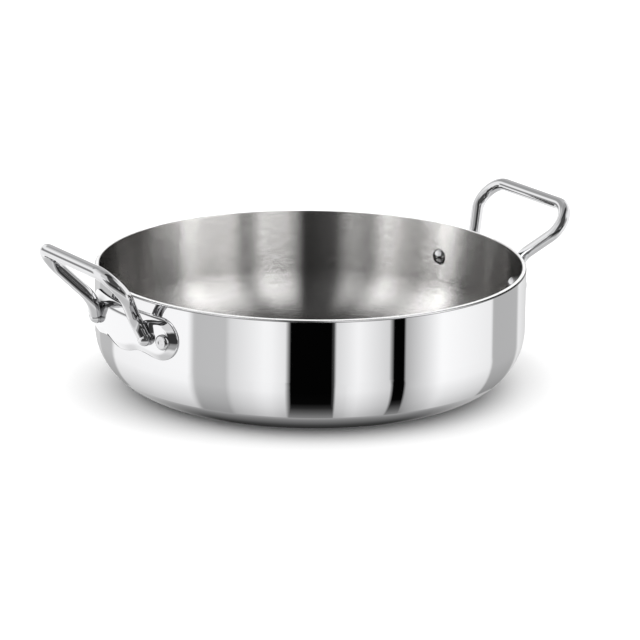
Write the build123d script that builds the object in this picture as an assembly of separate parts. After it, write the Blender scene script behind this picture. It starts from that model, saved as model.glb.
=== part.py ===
from build123d import *
import math
import os

# A rondeau: a wide, shallow, straight-walled pan of five bonded plies, with two fixed loop handles riveted to it.
# The origin is the centre of the base, on the surface that the pan stands on. +Z is up, and the handles lie on +X and -X.

# Pan body
rim_diameter = 285.0
pan_height = 81.0
base_corner_radius = 40.0
rim_outer_round = 1.2
rim_inner_round = 0.4

# Thickness of each ply of the bonded sheet, from the outside to the inside
outer_steel_thickness = 0.5
outer_alloy_thickness = 0.35
core_thickness = 1.3
inner_alloy_thickness = 0.35
inner_steel_thickness = 0.5

# Handle plate, as seen from in front of the handle. Drops are measured down from the rim.
plate_thickness = 4.0
plate_lobe_radius = 14.0
plate_lobe_spread = 78.0
plate_lobe_drop = 23.0
plate_crown = 0.4
plate_crest_spread = 40.0
plate_crest_drop = 34.6
plate_belly_spread = 16.0
plate_belly_side_drop = 37.4
plate_belly_drop = 38.4
plate_edge_round = 2.2

# Rivets. The pitch is the straight distance between the two axes where they pass the outside of the wall.
rivet_pitch = 88.0
rivet_drop = 23.5
rivet_shank_radius = 2.8
rivet_hole_clearance = 0.1
rivet_dome_radius = 5.5
rivet_dome_height = 3.1
rivet_button_radius = 5.1
rivet_button_height = 2.7
rivet_button_round = 1.8
rivet_dimple_radius = 2.0
rivet_dimple_depth = 0.3
rivet_head_bite = 0.5

# Grip bar. Its centre line is a chain of straight runs and arcs through a foot, a knee and a corner on each side.
grip_bar_radius = 4.25
grip_reach = 36.4
grip_rise = 24.4
grip_corner_spread = 120.5
grip_corner_radius = 15.0
grip_knee_reach = 7.0
grip_knee_drop = 10.8
grip_knee_spread = 53.2
grip_knee_radius = 15.0
grip_foot_spread = 63.0
grip_foot_drop = 23.8
grip_foot_standoff = 1.6
grip_foot_radius = 4.8

# How far a cutting or trimmed shape runs past the piece that it cuts
overrun = 2.0

rim_radius = rim_diameter / 2
ply_thicknesses = {
    "outer_steel_ply": outer_steel_thickness,
    "outer_alloy_ply": outer_alloy_thickness,
    "core_aluminium_ply": core_thickness,
    "inner_alloy_ply": inner_alloy_thickness,
    "inner_steel_ply": inner_steel_thickness,
}
wall_thickness = sum(ply_thicknesses.values())
inner_wall_radius = rim_radius - wall_thickness
plate_face_radius = rim_radius + plate_thickness
rivet_angle = math.degrees(math.asin(rivet_pitch / 2 / rim_radius))
rivet_height = pan_height - rivet_drop
rivet_angles = {
    "right_front": -rivet_angle,
    "right_rear": rivet_angle,
    "left_front": 180 + rivet_angle,
    "left_rear": 180 - rivet_angle,
}


def vessel_section(depth):
    """Half section of all that lies inside the surface at this depth under the outside of the pan."""
    flat_radius = rim_radius - base_corner_radius
    corner = CenterArc((flat_radius, base_corner_radius), base_corner_radius - depth, 270, 90)
    below = Polyline((0, pan_height), (0, depth), corner @ 0)
    above = Polyline(corner @ 1, (rim_radius - depth, pan_height), (0, pan_height))
    return make_face(below.edges() + corner.edges() + above.edges())


def sheet_section():
    """Half section of the whole bonded sheet, with the ground and rounded rim."""
    section = vessel_section(0) - vessel_section(wall_thickness)
    rim_corners = section.vertices().group_by(Axis.Y)[-1].sort_by(Axis.X)
    section = fillet(rim_corners[-1], rim_outer_round)
    rim_corners = section.vertices().group_by(Axis.Y)[-1].sort_by(Axis.X)
    return fillet(rim_corners[0], rim_inner_round)


def radial_frame(angle, radius, height):
    """Frame on the line that runs out from the pan's axis at this angle and height, with its Z axis outwards."""
    turned = Plane.XY.rotated((0, 0, angle))
    origin = turned.from_local_coords((radius, 0, height))
    return Plane(origin=origin, x_dir=(0, 0, 1), z_dir=turned.x_dir)


def wall_cylinder(radius):
    """Upright cylinder round the pan's axis, taller than the pan with its handles."""
    height = pan_height + grip_rise + 2 * overrun
    base = Plane.XY.offset(-overrun)
    return base * Cylinder(radius, height, align=(Align.CENTER, Align.CENTER, Align.MIN))


def rivet_hole(angle):
    """Cutter for the hole that a rivet fills, through wall and plate."""
    start = inner_wall_radius - overrun
    length = plate_face_radius + overrun - start
    frame = radial_frame(angle, start, rivet_height)
    hole_radius = rivet_shank_radius + rivet_hole_clearance
    return frame * Cylinder(hole_radius, length, align=(Align.CENTER, Align.CENTER, Align.MIN))


def make_plies():
    """The five nested plies, each with the four rivet holes."""
    sheet = sheet_section()
    holes = [rivet_hole(angle) for angle in rivet_angles.values()]
    plies = {}
    depth = 0
    for name, thickness in ply_thicknesses.items():
        band = vessel_section(depth) - vessel_section(depth + thickness)
        ply = revolve(Plane.XZ * (sheet & band), Axis.Z, 360)
        plies[name] = ply - holes
        depth += thickness
    return plies


def plate_outline():
    """Outline of the handle plate seen from in front, in Y and Z."""
    lobe_y = plate_lobe_spread / 2
    lobe_z = pan_height - plate_lobe_drop
    crest_y = plate_crest_spread / 2
    crest_z = pan_height - plate_crest_drop
    top_z = lobe_z + plate_lobe_radius
    bottom_z = lobe_z - plate_lobe_radius
    belly_y = plate_belly_spread / 2
    belly_z = pan_height - plate_belly_side_drop
    right_lobe = ThreePointArc((lobe_y, top_z), (lobe_y + plate_lobe_radius, lobe_z), (lobe_y, bottom_z))
    left_lobe = ThreePointArc((-lobe_y, bottom_z), (-lobe_y - plate_lobe_radius, lobe_z), (-lobe_y, top_z))
    lower_side = [(lobe_y, bottom_z), (crest_y, crest_z), (belly_y, belly_z)]
    other_side = [(-y, z) for y, z in reversed(lower_side)]
    belly = (0, pan_height - plate_belly_drop)
    lower_edge = Spline(*lower_side, belly, *other_side, tangents=[(-1, 0), (-1, 0)])
    upper_edge = ThreePointArc((-lobe_y, top_z), (0, top_z + plate_crown), (lobe_y, top_z))
    return make_face(right_lobe.edges() + lower_edge.edges() + left_lobe.edges() + upper_edge.edges())


def make_plate():
    """Plate of the handle on +X: the outline, cut from a curved band that fits the outside of the wall."""
    blank = extrude(Plane.YZ * plate_outline(), plate_face_radius + overrun)
    plate = (blank & wall_cylinder(plate_face_radius)) - wall_cylinder(rim_radius)
    face = plate.faces().filter_by(GeomType.CYLINDER).sort_by(lambda f: f.center().X)[-1]
    plate = fillet(face.outer_wire().edges(), plate_edge_round)
    return plate - [rivet_hole(angle) for angle in (rivet_angle, -rivet_angle)]


def make_grip():
    """Grip of the handle on +X: a bent bar with a ball foot at each end, seated on the plate."""
    foot_y = grip_foot_spread / 2
    foot_radius_from_axis = plate_face_radius + grip_foot_standoff
    foot_x = math.sqrt(foot_radius_from_axis**2 - foot_y**2)
    foot = Vector(foot_x, foot_y, pan_height - grip_foot_drop)
    knee = Vector(rim_radius + grip_knee_reach, grip_knee_spread / 2, pan_height - grip_knee_drop)
    corner = Vector(rim_radius + grip_reach, grip_corner_spread / 2, pan_height + grip_rise)
    side = [foot, knee, corner]
    other_side = [Vector(point.X, -point.Y, point.Z) for point in reversed(side)]
    radii = [grip_knee_radius, grip_corner_radius, grip_corner_radius, grip_knee_radius]
    path = FilletPolyline(*side, *other_side, radius=radii)
    bar = sweep(Plane(origin=path @ 0, z_dir=path % 0) * Circle(grip_bar_radius), path)
    foot_frames = [Plane(origin=point, z_dir=(point.X, point.Y, 0)) for point in (foot, other_side[-1])]
    feet = [frame * Sphere(grip_foot_radius) for frame in foot_frames]
    return (bar + feet) - wall_cylinder(plate_face_radius)


def make_rivet(angle):
    """One rivet: domed head on the cooking side, shank through wall and plate, button head outside."""
    seat = radial_frame(angle, inner_wall_radius, rivet_height)
    dome_ball = (rivet_dome_radius**2 + rivet_dome_height**2) / (2 * rivet_dome_height)
    dome_centre = radial_frame(angle, inner_wall_radius - rivet_dome_height + dome_ball, rivet_height)
    dome_blank = seat * Cylinder(rivet_dome_radius, 2 * rivet_dome_height)
    dome = dome_blank & (dome_centre * Sphere(dome_ball)) & wall_cylinder(inner_wall_radius)

    shank_length = plate_face_radius - inner_wall_radius + 2 * rivet_head_bite
    shank_start = radial_frame(angle, inner_wall_radius - rivet_head_bite, rivet_height)
    shank = shank_start * Cylinder(rivet_shank_radius, shank_length, align=(Align.CENTER, Align.CENTER, Align.MIN))

    button_length = rivet_button_height + rivet_head_bite
    button_start = radial_frame(angle, plate_face_radius - rivet_head_bite, rivet_height)
    button = Cylinder(rivet_button_radius, button_length, align=(Align.CENTER, Align.CENTER, Align.MIN))
    button = fillet(button.edges().group_by(Axis.Z)[-1], rivet_button_round)
    button = (button_start * button) - wall_cylinder(plate_face_radius)
    dimple_ball = (rivet_dimple_radius**2 + rivet_dimple_depth**2) / (2 * rivet_dimple_depth)
    dimple_reach = plate_face_radius + rivet_button_height + dimple_ball - rivet_dimple_depth
    dimple = radial_frame(angle, dimple_reach, rivet_height) * Sphere(dimple_ball)
    return (dome + shank + button) - dimple


pieces = make_plies()
right_plate = make_plate()
right_grip = make_grip()
half_turn = Rot(0, 0, 180)
pieces["right_handle_plate"] = right_plate
pieces["left_handle_plate"] = half_turn * right_plate
pieces["right_handle_grip"] = right_grip
pieces["left_handle_grip"] = half_turn * right_grip
for place, angle in rivet_angles.items():
    pieces[place + "_rivet"] = make_rivet(angle)

os.makedirs("parts", exist_ok=True)
for name, piece in pieces.items():
    piece.label = name
    export_step(piece, f"parts/{name}.step")
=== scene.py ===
import math

import bmesh
import bpy
from mathutils import Matrix, Vector


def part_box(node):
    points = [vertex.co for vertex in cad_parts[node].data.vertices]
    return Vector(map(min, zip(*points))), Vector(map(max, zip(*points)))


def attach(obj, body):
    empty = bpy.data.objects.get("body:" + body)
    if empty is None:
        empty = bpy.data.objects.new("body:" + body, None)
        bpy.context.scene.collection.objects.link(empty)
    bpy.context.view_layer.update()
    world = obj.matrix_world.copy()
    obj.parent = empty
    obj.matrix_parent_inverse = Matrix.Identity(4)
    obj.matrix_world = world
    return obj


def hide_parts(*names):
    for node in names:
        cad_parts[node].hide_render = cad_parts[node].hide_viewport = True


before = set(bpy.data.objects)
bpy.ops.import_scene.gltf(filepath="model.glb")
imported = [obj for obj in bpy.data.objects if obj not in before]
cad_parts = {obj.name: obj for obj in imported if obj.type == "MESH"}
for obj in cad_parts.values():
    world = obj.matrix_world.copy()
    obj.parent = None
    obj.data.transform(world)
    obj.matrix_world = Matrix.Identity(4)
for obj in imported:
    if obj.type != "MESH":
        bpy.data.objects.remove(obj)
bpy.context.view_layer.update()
scene = bpy.context.scene

# Camera, fitted to the photograph. Azimuth 0 looks along +Y, and lengths are in metres.
CAMERA_AZIMUTH = math.radians(-32.6)
CAMERA_ELEVATION = math.radians(14.83)
CAMERA_ROLL = math.radians(0.62)
CAMERA_DISTANCE = 2.5
PIXELS_PER_METRE = 1513.7
FRAME_PIXELS = 640
RIM_CENTRE_PIXEL = (310.7, 262.6)
SENSOR_MM = 36.0

# Sizes of the pan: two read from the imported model, and the outside radius of its base corner
RIM_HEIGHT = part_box("outer_steel_ply")[1].z
RIM_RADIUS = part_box("outer_steel_ply")[1].x
BASE_CORNER = 0.040

# Handle plate: the shape of its outline and bevel.
# Each step of the bevel is an inset from the edge and a height off the wall.
LOBE_RADIUS = 0.0140
PLATE_CROWN = 0.0004
CREST_Y = 0.020
CREST_Z = RIM_HEIGHT - 0.0346
BELLY_Y = 0.008
BELLY_SIDE_Z = RIM_HEIGHT - 0.0374
BEVEL_PROFILE = [
    (0.0, 0.0), (0.0, 0.0009), (0.00010, 0.0012), (0.00035, 0.0014), (0.0014, 0.00208),
    (0.0026, 0.00284), (0.0037, 0.00350), (0.0044, 0.00381), (0.0051, 0.00395), (0.0060, 0.0040),
]
PLATE_STEPS = 96
LOBE_STEPS = 48
SPINE_STEPS = 6
MERGE_DISTANCE = 1e-6

# The studio. Each row of a ring is one panel or gap: where it starts and ends in degrees of azimuth,
# counted from the camera towards its right, and its brightness at both ends. Rows meet in a soft edge.
# A look just below the horizon meets the low ring, and a look above the horizon meets the high ring.
LOW_RING = [
    (-180, -152, 0.60, 0.72), (-150, -131, 0.56, 0.56), (-127, -67, 1.02, 1.08), (-63, -45, 0.56, 0.58),
    (-42, -24, 0.78, 1.05), (-20, -11.6, 1.04, 0.86), (-11.0, 12.6, 0.001, 0.001), (13.2, 25, 0.76, 1.04),
    (26, 43.2, 1.04, 0.72), (43.9, 51.2, 0.001, 0.001), (51.9, 72, 0.48, 1.08), (74, 112, 1.12, 0.96),
    (114, 143, 0.50, 0.50), (147, 180, 0.90, 0.60),
]
HIGH_RING = [
    (-180, -130, 0.03, 0.03), (-122, -112, 0.6, 0.25), (-104, -96, 0.42, 0.9), (-85, -79, 3.64, 4.06),
    (-75, -71, 1.95, 1.95), (-64, -57, 0.80, 0.92), (-51, -43, 2.1, 2.6), (-35, -23, 0.7, 1.15),
    (-14, 4, 0.16, 0.06), (13, 28, 1.7, 2.3), (34, 40, 0.9, 0.56), (44, 64, 1.6, 2.05),
    (70, 75, 3.1, 3.2), (83, 98, 1.69, 0.728), (104, 122, 0.105, 0.06), (132, 180, 0.02, 0.02),
]
RING_FULL = 4.2
# Below the pan the light fades from the edge of the floor paper towards the pan's own shadow:
# tilt of the surface in degrees, brightness
UNDER_MIDDLE = [
    (0, 0.38), (40, 0.38), (42, 0.34), (45, 0.227), (51, 0.124), (57, 0.049), (66, 0.027), (90, 0.025),
]
UNDER_SIDE = [(0, 0.59), (39, 0.59), (45, 0.48), (57, 0.38), (69, 0.30), (90, 0.40)]
# How the low ring itself changes towards the bottom: its panels dim, and its gaps fill with light
LOW_DIM = [(0, 1.0), (10, 0.97), (18, 0.87), (27, 0.76), (36, 0.62), (41, 0.56), (90, 0.5)]
LOW_LIFT = [(0, 0.0), (22, 0.002), (27, 0.023), (33, 0.11), (39, 0.22), (90, 0.22)]
# What lies behind the pan: elevation in degrees, brightness
BACK_PANELS = [(0, 0.52), (14.5, 0.52), (15, 0.22), (18, 0.22), (19, 1.1), (38, 1.2), (44, 0.3), (90, 0.3)]
HIGH_GAIN = 1.3
ZENITH = 0.20
# Light that matt surfaces meet from all round, and the white that the camera sees behind the pan
AMBIENT = 0.16
BACKDROP = 1.05
# Soft edges between these lights, in degrees: each is where the change starts and where it is complete
HORIZON_EDGE = (-7, 2)
ZENITH_EDGE = (50, 75)
SIDE_EDGE = (60, 124)
BEHIND_EDGE = (148, 158)
UNDER_EDGE = (40.0, 41.5)
# Looks that turn less than this from the camera's axis graze the metal, and they take the ring as it stands
GRAZING_EDGE = (0.04, 0.14)
STEEP_EDGE = (-16.5, -19.0)
# One more panel, behind the pan on the camera's left
STRIP_RIGHT = (-118, -126)
STRIP_LEFT = (-157, -152)
STRIP_BOTTOM = (22, 26)
STRIP_TOP = (44, 38)
STRIP_LEVEL = 1.1
# A look that has met the metal more than once brings less light, and least of all from the far side
REPEATS = (1, 3)
REPEAT_LEFT = 0.3
FAR_SIDE_EDGE = (122, 150)
FAR_SIDE_SHARE = 0.12
# What the grips, plates and rivets reflect: a light room whose brightness changes with elevation, and the
# cards in it. A card has its left and right azimuth, its bottom and top elevation, and its brightness.
ROOM = [
    (-90, 0.65), (-55, 0.68), (-38, 0.98), (-20, 1.12), (30, 1.1), (45, 0.85), (60, 0.5),
    (75, 0.38), (90, 0.38),
]
CARDS = [
    (-60, 60, -38, -20, 0.38),
    (-60, -40, -26, 0, 0.28),
    (-42, 60, -22, 12, 0.04),
    (-20, 62, 10, 62, 0.08),
    (-62, -22, 14, 42, 0.75),
    (24, 36, 1, 9, 0.50),
    (60, 80, -10, 30, 0.36),
    (-138, -102, -10, 8, 0.28),
    (-165, -120, 28, 60, 0.42),
    (-200, -160, 8, 60, 0.57),
    (160, 200, 8, 60, 0.62),
    (102, 160, 42, 75, 0.40),
    (-40, 130, 60, 100, 0.05),
]
CARD_SOFTNESS = 5
CARD_FULL = 1.5
# Broad light from above, and the paper that the pan stands on
KEY_ANGLE = math.radians(136.0)
KEY_ENERGY = 4.4
FLOOR_HALF = 12.0
FLOOR_DROP = 0.0002
PAPER_GRAIN = 400.0
PAPER_SHADES = (0.88, 0.90)

# The rim's rounded edge is ground, which makes it rougher, and its colour is darkened there as a painted
# dark line that stands in for a dark reflection: how far below the rim the rougher finish and the painted
# dark line start and where they are full
RIM_GRIND_AND_DARK_START = 0.0014
RIM_GRIND_AND_DARK_FULL = 0.0011
GROUND_ROUGHNESS = 0.2
# Share of the steel's colour left in the rim's painted dark line
RIM_PAINTED_DARK_SHARE = 0.33
# Satin steel. Random grit leans the surface across the brushing, less so on the base.
GRIT_GRAIN = 9000.0
GRIT_SPREAD = 0.5
GRIT_BASE_SHARE = 0.4
# Brush lines: how many there are to a metre across them and to a radian along them,
# and how far they lean the surface
FINE_LINES = (1900.0, 14.0, 0.35)
BROAD_LINES = (450.0, 9.0, 0.02)
# Painted shade: the satin's colour is darker on the base and lower corner than on the wall. Heights between
# which it changes, and the base's share
BASE_PAINTED_SHADE_HEIGHTS = (0.014, 0.042)
# Share of the satin's colour left on the base by the painted shade
BASE_SHARE = 0.47
# How well the mesh must agree with the pan's true surface before the true one takes its place
TRUE_SURFACE_EDGE = (0.85, 0.92)



def make_camera():
    """Long lens at the photograph's angle, aimed so that the rim's centre falls on its pixel."""
    forward = Vector((
        -math.sin(CAMERA_AZIMUTH) * math.cos(CAMERA_ELEVATION),
        math.cos(CAMERA_AZIMUTH) * math.cos(CAMERA_ELEVATION),
        -math.sin(CAMERA_ELEVATION),
    ))
    level_right = forward.cross(Vector((0, 0, 1))).normalized()
    level_up = level_right.cross(forward)
    right = level_right * math.cos(CAMERA_ROLL) + level_up * math.sin(CAMERA_ROLL)
    up = right.cross(forward)
    focal_pixels = PIXELS_PER_METRE * CAMERA_DISTANCE
    aside = (FRAME_PIXELS / 2 - RIM_CENTRE_PIXEL[0]) / focal_pixels
    below = (FRAME_PIXELS / 2 - RIM_CENTRE_PIXEL[1]) / focal_pixels
    axis = (forward + right * aside - up * below).normalized()
    right = (right - axis * right.dot(axis)).normalized()
    up = right.cross(axis)

    data = bpy.data.cameras.new("camera")
    data.sensor_width = SENSOR_MM
    data.lens = focal_pixels * SENSOR_MM / FRAME_PIXELS
    data.clip_end = 100
    camera = bpy.data.objects.new("camera", data)
    scene.collection.objects.link(camera)
    turn = Matrix((right, up, -axis)).transposed().to_4x4()
    place = Vector((0, 0, RIM_HEIGHT)) - forward * CAMERA_DISTANCE
    camera.matrix_world = Matrix.Translation(place) @ turn
    scene.camera = camera


class Nodes:
    """Small helper that adds nodes to a tree and links their sockets by name."""

    def __init__(self, tree):
        self.tree = tree
        tree.nodes.clear()

    def add(self, kind, values=None, **settings):
        node = self.tree.nodes.new(kind)
        for name, value in settings.items():
            setattr(node, name, value)
        for name, value in (values or {}).items():
            if isinstance(value, bpy.types.NodeSocket):
                self.tree.links.new(value, node.inputs[name])
            else:
                node.inputs[name].default_value = value
        return node

    def math(self, operation, a, b=None):
        values = {0: a} if b is None else {0: a, 1: b}
        return self.add("ShaderNodeMath", values, operation=operation).outputs[0]

    def vector(self, operation, a, b=None):
        values = {0: a} if b is None else {0: a, 1: b}
        return self.add("ShaderNodeVectorMath", values, operation=operation).outputs

    def scaled(self, vector, scale):
        return self.add("ShaderNodeVectorMath", {0: vector, "Scale": scale}, operation="SCALE").outputs[0]

    def mix(self, factor, a, b):
        return self.add("ShaderNodeMix", {0: factor, 2: a, 3: b}, data_type="FLOAT").outputs[0]

    def span(self, value, low, high, to_low=0.0, to_high=1.0, smooth=True):
        """Value mapped from one range to another, clamped."""
        kind = "SMOOTHSTEP" if smooth else "LINEAR"
        values = {"Value": value, "From Min": low, "From Max": high, "To Min": to_low, "To Max": to_high}
        return self.add("ShaderNodeMapRange", values, interpolation_type=kind).outputs["Result"]

    def curve(self, value, stops, full=1.0, span=90.0):
        """Height of a line through the stops, each (place, height), where value is a share of the span."""
        ramp = self.add("ShaderNodeValToRGB", {"Fac": value})
        elements = ramp.color_ramp.elements
        for index, (place, height) in enumerate(stops):
            element = elements[index] if index < 2 else elements.new(1.0)
            element.position = place / span
            element.color = (height / full, height / full, height / full, 1)
        return self.math("MULTIPLY", ramp.outputs["Color"], full)


def ring(nodes, azimuth, panels):
    """Brightness at an azimuth of a ring of panels."""
    stops = []
    for start, end, first, last in panels:
        stops += [(start + 180, first), (end + 180, last)]
    return nodes.curve(nodes.span(azimuth, -180, 180, smooth=False), stops, RING_FULL, 360.0)


def azimuth_of(nodes, x, y):
    """Degrees from the direction of the camera towards its right."""
    return nodes.math("DEGREES", nodes.math("ARCTAN2", x, nodes.math("MULTIPLY", y, -1.0)))


def low_light(nodes, turned, azimuth, elevation):
    """Brightness of the low ring and of the floor paper, for looks that go below the horizon."""
    # Facing is the slope of a polished surface that would send a look along the photograph's axis this way
    axis = (0, math.cos(CAMERA_ELEVATION), -math.sin(CAMERA_ELEVATION))
    change = nodes.vector("SUBTRACT", turned, axis)[0]
    facing = nodes.vector("NORMALIZE", change)[0]
    face_x, face_y, face_z = nodes.add("ShaderNodeSeparateXYZ", {0: facing}).outputs
    steep = nodes.span(nodes.vector("LENGTH", change)["Value"], *GRAZING_EDGE)
    steep = nodes.math("MAXIMUM", steep, nodes.span(elevation, *STEEP_EDGE))
    face_azimuth = nodes.math("MULTIPLY", azimuth_of(nodes, face_x, face_y), 2.0)
    low_azimuth = nodes.mix(steep, azimuth, face_azimuth)
    drop = nodes.math("DEGREES", nodes.math("ARCSINE", nodes.math("MULTIPLY", face_z, -1.0)))
    drop = nodes.math("DIVIDE", nodes.math("MULTIPLY", drop, steep), 90.0)

    low = ring(nodes, low_azimuth, LOW_RING)
    low = nodes.math("MULTIPLY", low, nodes.curve(drop, LOW_DIM))
    low = nodes.math("MAXIMUM", low, nodes.curve(drop, LOW_LIFT))
    side = nodes.span(nodes.math("ABSOLUTE", low_azimuth), *SIDE_EDGE)
    under = nodes.mix(side, nodes.curve(drop, UNDER_MIDDLE), nodes.curve(drop, UNDER_SIDE))
    start, full = UNDER_EDGE
    return nodes.mix(nodes.span(drop, start / 90, full / 90), low, under)


def high_light(nodes, azimuth, elevation):
    """Brightness of the high ring, the panels behind the pan and the zenith, for looks above the horizon."""
    high = nodes.math("MULTIPLY", ring(nodes, azimuth, HIGH_RING), HIGH_GAIN)
    behind = nodes.span(nodes.math("ABSOLUTE", azimuth), *BEHIND_EDGE)
    back = nodes.curve(nodes.math("DIVIDE", elevation, 90.0), BACK_PANELS, RING_FULL)
    high = nodes.mix(behind, high, back)
    across = nodes.math("MULTIPLY", nodes.span(azimuth, *STRIP_RIGHT), nodes.span(azimuth, *STRIP_LEFT))
    upright = nodes.math("MULTIPLY", nodes.span(elevation, *STRIP_BOTTOM), nodes.span(elevation, *STRIP_TOP))
    high = nodes.mix(nodes.math("MULTIPLY", across, upright), high, STRIP_LEVEL)
    return nodes.mix(nodes.span(elevation, *ZENITH_EDGE), high, ZENITH)


def card_light(nodes, azimuth, elevation):
    """Brightness of the light room and the cards in it. A later card hangs in front of an earlier one."""
    height = nodes.math("DIVIDE", nodes.math("ADD", elevation, 90.0), 180.0)
    cards = nodes.curve(height, [(place + 90, level) for place, level in ROOM], CARD_FULL, 180.0)
    soft = CARD_SOFTNESS
    for left, right, bottom, top, level in CARDS:
        from_left = nodes.span(azimuth, left - soft, left + soft)
        from_right = nodes.span(azimuth, right + soft, right - soft)
        from_below = nodes.span(elevation, bottom - soft, bottom + soft)
        from_above = nodes.span(elevation, top + soft, top - soft)
        across = nodes.math("MULTIPLY", from_left, from_right)
        upright = nodes.math("MULTIPLY", from_below, from_above)
        cards = nodes.mix(nodes.math("MULTIPLY", across, upright), cards, level)
    return cards


def make_world():
    """Studio light. Metal meets the panels and cards, the paper is lit evenly, and the backdrop is white."""
    world = bpy.data.worlds.new("studio")
    world.use_nodes = True
    scene.world = world
    nodes = Nodes(world.node_tree)
    look = {"Vector": nodes.add("ShaderNodeTexCoord").outputs["Generated"], "Angle": -CAMERA_AZIMUTH}
    turned = nodes.add("ShaderNodeVectorRotate", look, rotation_type="Z_AXIS").outputs[0]
    x, y, z = nodes.add("ShaderNodeSeparateXYZ", {0: turned}).outputs
    azimuth = azimuth_of(nodes, x, y)
    elevation = nodes.math("DEGREES", nodes.math("ARCSINE", z))
    low = low_light(nodes, turned, azimuth, elevation)
    high = high_light(nodes, azimuth, elevation)
    seen = nodes.mix(nodes.span(elevation, *HORIZON_EDGE), low, high)

    # Bare polish meets the small bright and dark cards round the handles, and all other steel the big panels
    path = nodes.add("ShaderNodeLightPath").outputs
    seen = nodes.mix(path["Is Singular Ray"], seen, card_light(nodes, azimuth, elevation))
    depth = path["Glossy Depth"]
    seen = nodes.math("MULTIPLY", seen, nodes.span(depth, *REPEATS, 1.0, REPEAT_LEFT, smooth=False))
    repeated = nodes.math("GREATER_THAN", depth, 1.5)
    far_side = nodes.span(nodes.math("ABSOLUTE", azimuth), *FAR_SIDE_EDGE)
    share = nodes.mix(nodes.math("MULTIPLY", repeated, far_side), 1.0, FAR_SIDE_SHARE)
    seen = nodes.math("MULTIPLY", seen, share)
    light = nodes.mix(nodes.math("MINIMUM", path["Diffuse Depth"], 1.0), seen, AMBIENT)
    light = nodes.mix(path["Is Camera Ray"], light, BACKDROP)
    background = nodes.add("ShaderNodeBackground", {"Color": light, "Strength": 1.0})
    nodes.add("ShaderNodeOutputWorld", {"Surface": background.outputs[0]})


def make_key_light():
    """Broad soft light from straight above. It lights the paper, and polished metal doesn't mirror it."""
    data = bpy.data.lights.new("key_light", "SUN")
    data.angle = KEY_ANGLE
    data.energy = KEY_ENERGY
    light = bpy.data.objects.new("key_light", data)
    light.visible_glossy = False
    scene.collection.objects.link(light)


def new_material(name):
    material = bpy.data.materials.new(name)
    material.use_nodes = True
    return material, Nodes(material.node_tree)


def steel(name, colour, low_roughness, high_roughness, metallic=1.0, ground_rim_and_dark_line=False):
    """Polished steel whose gloss varies a little from place to place. A ground rim is rougher and duller,
    and its colour is darkened as a painted dark line that stands in for a reflection.
    """
    material, nodes = new_material(name)
    place = nodes.add("ShaderNodeTexCoord").outputs["Object"]
    cloud = nodes.add("ShaderNodeTexNoise", {"Vector": place, "Scale": 35.0, "Detail": 4.0}).outputs["Fac"]
    gloss = nodes.span(cloud, 0.35, 0.65, low_roughness, high_roughness)
    values = {"Base Color": (*colour, 1), "Metallic": metallic, "Roughness": gloss}
    if ground_rim_and_dark_line:
        z = nodes.add("ShaderNodeSeparateXYZ", {0: place}).outputs[2]
        ground = nodes.span(z, RIM_HEIGHT - RIM_GRIND_AND_DARK_START, RIM_HEIGHT - RIM_GRIND_AND_DARK_FULL)
        values["Roughness"] = nodes.mix(ground, gloss, GROUND_ROUGHNESS)
        # Painted dark line: the rim band's colour is darkened, standing in for a dark reflection along the
        # rim
        values["Base Color"] = nodes.scaled(colour, nodes.mix(ground, 1.0, RIM_PAINTED_DARK_SHARE))
    shader = nodes.add("ShaderNodeBsdfPrincipled", values)
    nodes.add("ShaderNodeOutputMaterial", {"Surface": shader.outputs[0]})
    return material


def true_normal(nodes, flat, radius, z):
    """Normal of the pan's true surface, so that the lights' edges run straight over the mesh's facets."""
    out = nodes.math("MAXIMUM", nodes.math("SUBTRACT", radius, RIM_RADIUS - BASE_CORNER), 0.0)
    down = nodes.math("MAXIMUM", nodes.math("SUBTRACT", BASE_CORNER, z), 0.0)
    inwards = nodes.scaled(nodes.vector("NORMALIZE", flat)[0], nodes.math("MULTIPLY", out, -1.0))
    upwards = nodes.add("ShaderNodeCombineXYZ", {2: down}).outputs[0]
    smooth = nodes.vector("NORMALIZE", nodes.vector("ADD", inwards, upwards)[0])[0]
    normal = nodes.add("ShaderNodeNewGeometry").outputs["Normal"]
    agree = nodes.span(nodes.vector("DOT_PRODUCT", normal, smooth)["Value"], *TRUE_SURFACE_EDGE)
    return nodes.add("ShaderNodeMix", {"Factor": agree, 4: normal, 5: smooth}, data_type="VECTOR").outputs[1]


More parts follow.
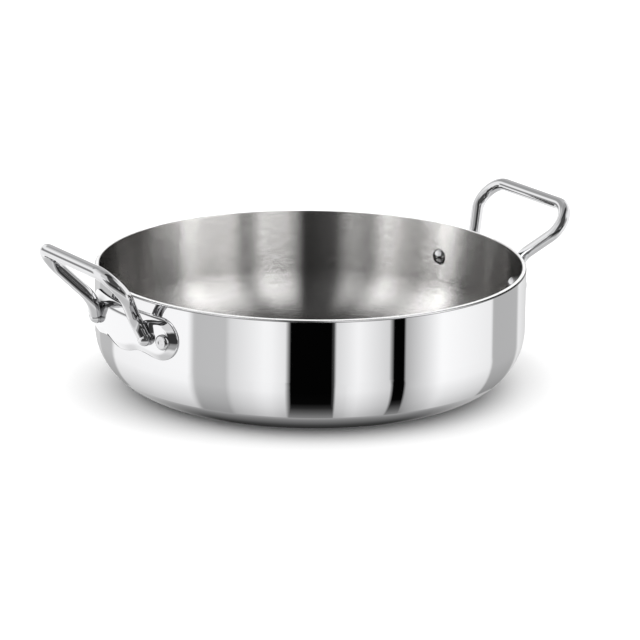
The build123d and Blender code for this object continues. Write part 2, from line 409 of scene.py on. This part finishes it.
def brushed(name, colour, low_roughness, high_roughness):
    """Satin steel, brushed round the pan: it spreads what it mirrors across its lines, not along them. Its
    colour darkens towards the base as painted shade.
    """
    material, nodes = new_material(name)
    place = nodes.add("ShaderNodeTexCoord").outputs["Object"]
    x, y, z = nodes.add("ShaderNodeSeparateXYZ", {0: place}).outputs
    flat = nodes.add("ShaderNodeCombineXYZ", {0: x, 1: y, 2: 0.0}).outputs[0]
    radius = nodes.vector("LENGTH", flat)["Value"]
    angle = nodes.math("ARCTAN2", y, x)

    def lines(across, along, lean):
        grid = nodes.add("ShaderNodeCombineXYZ", {
            0: nodes.math("MULTIPLY", radius, across), 1: nodes.math("MULTIPLY", z, across),
            2: nodes.math("MULTIPLY", angle, along)}).outputs[0]
        fac = nodes.add("ShaderNodeTexNoise", {"Vector": grid, "Scale": 1.0, "Detail": 2.0}).outputs["Fac"]
        return nodes.math("MULTIPLY", nodes.math("SUBTRACT", fac, 0.5), lean)

    # The three random colours of the grit add up to a value from 0 to 3
    grit = nodes.vector("MULTIPLY", place, (GRIT_GRAIN, GRIT_GRAIN, GRIT_GRAIN))[0]
    grit = nodes.add("ShaderNodeTexWhiteNoise", {"Vector": grit}).outputs["Color"]
    grit = nodes.vector("DOT_PRODUCT", grit, (1.0, 1.0, 1.0))["Value"]
    grit = nodes.math("MULTIPLY", nodes.math("SUBTRACT", grit, 1.5), GRIT_SPREAD)
    normal = true_normal(nodes, flat, radius, z)
    normal_z = nodes.add("ShaderNodeSeparateXYZ", {0: normal}).outputs[2]
    upright = nodes.math("SUBTRACT", 1.0, nodes.math("ABSOLUTE", normal_z))
    grit = nodes.math("MULTIPLY", grit, nodes.mix(upright, GRIT_BASE_SHARE, 1.0))
    lean = nodes.math("ADD", grit, lines(*FINE_LINES))
    lean = nodes.math("ADD", lean, lines(*BROAD_LINES))
    tangent = nodes.add("ShaderNodeTangent", direction_type="RADIAL", axis="Z").outputs[0]
    across = nodes.vector("CROSS_PRODUCT", normal, tangent)[0]
    leaning = nodes.vector("NORMALIZE", nodes.vector("ADD", normal, nodes.scaled(across, lean))[0])[0]

    cloud = nodes.add("ShaderNodeTexNoise", {"Vector": place, "Scale": 22.0, "Detail": 4.0}).outputs["Fac"]
    gloss = nodes.span(cloud, 0.3, 0.7, low_roughness, high_roughness)
    # Painted shade: the colour is darkened from the wall down to the base, in the bottom of the pan
    shader = nodes.add("ShaderNodeBsdfPrincipled", {
        "Base Color": nodes.scaled(colour, nodes.span(z, *BASE_PAINTED_SHADE_HEIGHTS, BASE_SHARE, 1.0)),
        "Metallic": 1.0, "Roughness": gloss, "Normal": leaning,
        "Anisotropic": 1.0, "Anisotropic Rotation": 0.25, "Tangent": tangent})
    nodes.add("ShaderNodeOutputMaterial", {"Surface": shader.outputs[0]})
    return material


def dress(node, material):
    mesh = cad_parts[node].data
    mesh.materials.clear()
    mesh.materials.append(material)


def arc(centre, radius, start, end, count):
    """Points on a circle in the plane of y and z, from one angle to another in degrees."""
    turns = [math.radians(start + (end - start) * i / count) for i in range(count + 1)]
    return [(centre[0] + radius * math.cos(t), centre[1] + radius * math.sin(t)) for t in turns]


def smooth_line(knots, count):
    """Points at equal steps of y on a smooth line through the knots that is level at both ends."""
    points = []
    slopes = []
    for i in range(len(knots)):
        slope = 0.0
        if 0 < i < len(knots) - 1:
            slope = (knots[i + 1][1] - knots[i - 1][1]) / (knots[i + 1][0] - knots[i - 1][0])
        slopes.append(slope)
    first, last = knots[0][0], knots[-1][0]
    for step in range(count + 1):
        y = first + (last - first) * step / count
        i = max(k for k in range(len(knots) - 1) if knots[k][0] <= y or k == 0)
        (y0, z0), (y1, z1) = knots[i], knots[i + 1]
        width = y1 - y0
        t = (y - y0) / width
        z = (2 * t**3 - 3 * t**2 + 1) * z0 + (t**3 - 2 * t**2 + t) * width * slopes[i]
        z += (3 * t**2 - 2 * t**3) * z1 + (t**3 - t**2) * width * slopes[i + 1]
        points.append((y, z))
    return points


def plate_mesh(side):
    """Handle plate with a broad bevel round its edge. Side is 1 for the plate on +X and -1 for the other."""
    low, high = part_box("right_handle_plate")
    lobe_y = high.y - LOBE_RADIUS
    lobe_z = high.z - PLATE_CROWN - LOBE_RADIUS
    places = [lobe_y - 2 * lobe_y * i / PLATE_STEPS for i in range(PLATE_STEPS + 1)]
    upper = [(y, lobe_z + LOBE_RADIUS + PLATE_CROWN * (1 - (y / lobe_y) ** 2)) for y in places]
    knots = [(-lobe_y, lobe_z - LOBE_RADIUS), (-CREST_Y, CREST_Z), (-BELLY_Y, BELLY_SIDE_Z), (0, low.z)]
    knots += [(-y, z) for y, z in reversed(knots[:-1])]
    lower = smooth_line(knots, PLATE_STEPS)
    middle = [(y, (upper[PLATE_STEPS - i][1] + z) / 2) for i, (y, z) in enumerate(lower)]
    right_cap = arc((lobe_y, lobe_z), LOBE_RADIUS, -90, 90, LOBE_STEPS)[1:-1]
    left_cap = arc((-lobe_y, lobe_z), LOBE_RADIUS, 90, 270, LOBE_STEPS)[1:-1]
    outline = lower + right_cap + upper + left_cap
    spine = middle + [middle[-1]] * len(right_cap) + middle[::-1] + [middle[0]] * len(left_cap)
    count = len(outline)
    inward = []
    for i in range(count):
        before, after = Vector(outline[i - 1]), Vector(outline[(i + 1) % count])
        along = (after - before).normalized()
        inward.append(Vector((-along.y, along.x)))
    rings = [[(Vector(spine[i]), 0.0) for i in range(count)]]
    for inset, height in BEVEL_PROFILE:
        rings.append([(Vector(outline[i]) + inward[i] * inset, height) for i in range(count)])
    edge_ring = rings[-1]
    for step in range(1, SPINE_STEPS + 1):
        share = step / SPINE_STEPS
        row = [(point.lerp(Vector(spine[i]), share), height) for i, (point, height) in enumerate(edge_ring)]
        rings.append(row)
    bm = bmesh.new()
    grid = []
    for row in rings:
        verts = []
        for point, height in row:
            radius = RIM_RADIUS + height
            x = math.sqrt(radius**2 - point[0] ** 2)
            verts.append(bm.verts.new((side * x, side * point[0], point[1])))
        grid.append(verts)
    for a, b in zip(grid, grid[1:]):
        for i in range(count):
            bm.faces.new((a[i], a[(i + 1) % count], b[(i + 1) % count], b[i]))
    bmesh.ops.remove_doubles(bm, verts=bm.verts, dist=MERGE_DISTANCE)
    bmesh.ops.recalc_face_normals(bm, faces=bm.faces)
    mesh = bpy.data.meshes.new("plate")
    bm.to_mesh(mesh)
    bm.free()
    for polygon in mesh.polygons:
        polygon.use_smooth = True
    return mesh


def make_plates(material):
    for name, side in (("right_handle_plate", 1), ("left_handle_plate", -1)):
        piece = bpy.data.objects.new(name + "_bevelled", plate_mesh(side))
        piece.data.materials.append(material)
        scene.collection.objects.link(piece)
        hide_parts(name)
        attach(piece, "root")


def make_floor():
    material, nodes = new_material("floor_paper")
    place = nodes.add("ShaderNodeTexCoord").outputs["Object"]
    grain = nodes.add("ShaderNodeTexNoise", {"Vector": place, "Scale": PAPER_GRAIN}).outputs["Fac"]
    shade = nodes.span(grain, 0, 1, *PAPER_SHADES)
    shader = nodes.add("ShaderNodeBsdfDiffuse", {"Color": shade})
    nodes.add("ShaderNodeOutputMaterial", {"Surface": shader.outputs[0]})
    half = FLOOR_HALF
    corners = [(-half, -half, 0), (half, -half, 0), (half, half, 0), (-half, half, 0)]
    mesh = bpy.data.meshes.new("floor")
    mesh.from_pydata(corners, [], [(0, 1, 2, 3)])
    mesh.materials.append(material)
    floor = bpy.data.objects.new("floor", mesh)
    floor.location.z = -FLOOR_DROP
    floor.visible_glossy = False
    scene.collection.objects.link(floor)


scene.view_settings.view_transform = "Standard"
make_camera()
make_world()
make_key_light()
make_floor()
mirror = steel("polished_steel", (0.86, 0.86, 0.87), 0.012, 0.026, ground_rim_and_dark_line=True)
satin = brushed("brushed_steel", (0.62, 0.61, 0.60), 0.13, 0.16)
bar = steel("handle_steel", (0.74, 0.74, 0.75), 0.0005, 0.003)
plate = steel("plate_steel", (0.83, 0.83, 0.84), 0.0005, 0.003)
rivet = steel("rivet_steel", (0.66, 0.66, 0.67), 0.0005, 0.003)
alloy = steel("ground_edge", (0.78, 0.78, 0.78), 0.25, 0.32, metallic=0.4)
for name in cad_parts:
    if name == "outer_steel_ply":
        dress(name, mirror)
    elif name == "inner_steel_ply":
        dress(name, satin)
    elif name.endswith("ply"):
        dress(name, alloy)
    elif name.endswith("plate"):
        dress(name, plate)
    elif name.endswith("rivet"):
        dress(name, rivet)
    else:
        dress(name, bar)

make_plates(plate)
